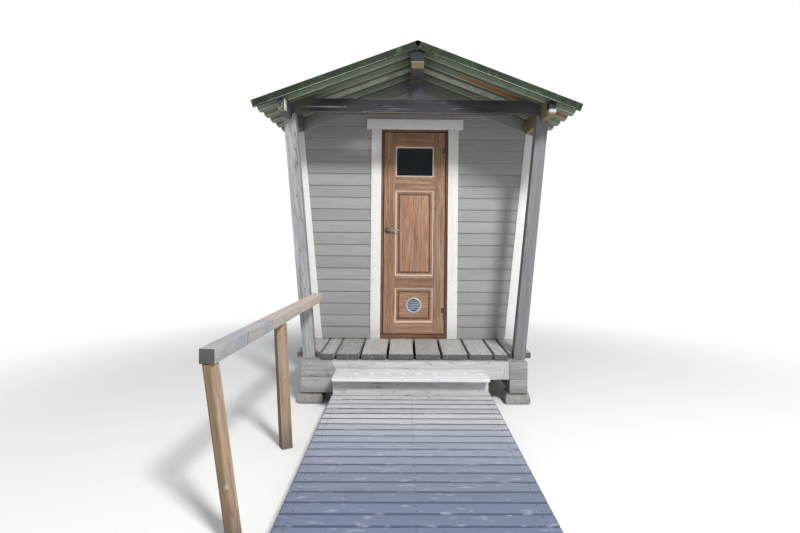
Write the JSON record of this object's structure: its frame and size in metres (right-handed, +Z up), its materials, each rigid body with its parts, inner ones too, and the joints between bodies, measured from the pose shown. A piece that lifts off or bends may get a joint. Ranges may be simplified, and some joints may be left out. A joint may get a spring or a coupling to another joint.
{
  "type": "wooden outhouse with a porch, a step and a timber walk",
  "caption": "Small wooden outhouse with leaning side walls, a gabled steel roof over an open porch, a panelled door, a box step and a timber walk with a handrail.",
  "frame": {"origin": "on the ground under the middle of the front wall's face, at the foot of the stone below the doorway", "axes": "+X to the right seen from the front, +Y back from the door into the room, +Z up; the door faces -Y"},
  "size_m": [2.5002, 4.8233, 2.802],
  "materials": {
    "stone": "rough field stone",
    "grey_timber": "silver-grey weathered softwood, sawn",
    "rough_timber": "sawn softwood, unpainted",
    "deck_planks": "weathered planks, worn grey",
    "floor_boards": "floor boards, unpainted",
    "painted_siding": "grey-green painted lap boards, matt",
    "white_trim": "off-white painted boards, satin",
    "door_wood": "brown stained pine, weathered",
    "door_glass": "clear pane with a dark room behind",
    "vent_metal": "light grey enamel",
    "dark_steel": "dark, worn",
    "roof_timber": "sawn softwood with green algae",
    "black_cover": "black bitumen felt with a pale edge",
    "green_steel": "dark green coil coating with rust at the cut edges",
    "pale_boards": "pale worn boards with knots",
    "walk_boards": "grey weathered boards, grooved by wear",
    "rail_timber": "planed softwood, weathered beige"
  },
  "bodies": {
    "hut": {"foundation_stones": "stone", "side_sills": "grey_timber", "plinth_blocks": "grey_timber", "plinth_wedge": "grey_timber", "front_rim": "grey_timber", "floor_joists": "rough_timber", "porch_planks": "deck_planks", "room_floor": "floor_boards", "front_wall_left": "painted_siding", "front_wall_right": "painted_siding", "front_gable": "painted_siding", "left_wall": "painted_siding", "right_wall": "painted_siding", "back_wall": "painted_siding", "corner_boards_gable": "white_trim", "corner_boards_side": "white_trim", "rake_boards": "painted_siding", "door_frame": "door_wood", "architraves": "white_trim", "hinge_pins": "dark_steel", "porch_posts": "grey_timber", "tie_beam": "roof_timber", "king_post": "roof_timber", "ridge_planks": "roof_timber", "eaves_plates": "roof_timber", "beam_end_covers": "black_cover", "roof_sheet_left": "green_steel", "roof_sheet_right": "green_steel", "verge_flashings": "green_steel", "ridge_cap": "green_steel", "step_tread": "pale_boards", "step_box": "pale_boards", "walk_planks": "walk_boards", "walk_bearers": "rough_timber", "handrail": "rail_timber", "rail_posts": "rail_timber"},
    "door": {"door_stiles": "door_wood", "door_rails": "door_wood", "door_panels": "door_wood", "door_mouldings": "door_wood", "door_glass": "door_glass", "door_vent": "vent_metal", "door_roses": "dark_steel", "hinge_knuckles": "dark_steel"},
    "lever": {"door_lever": "dark_steel"}
  },
  "joints": [
    {"name": "door_swing", "type": "hinge", "parent": "hut", "child": "door", "pos_m": [0.28175, -0.008, 1.3], "axis": [0, 0, 1], "range_deg": [0, 110]},
    {"name": "lever_turn", "type": "hinge", "parent": "door", "child": "lever", "pos_m": [-0.24467, 0.023, 1.3725], "axis": [0, 1, 0], "range_deg": [0, 40], "stiffness_Nm_per_rad": 0.8, "springref_deg": -34.38}
  ]
}
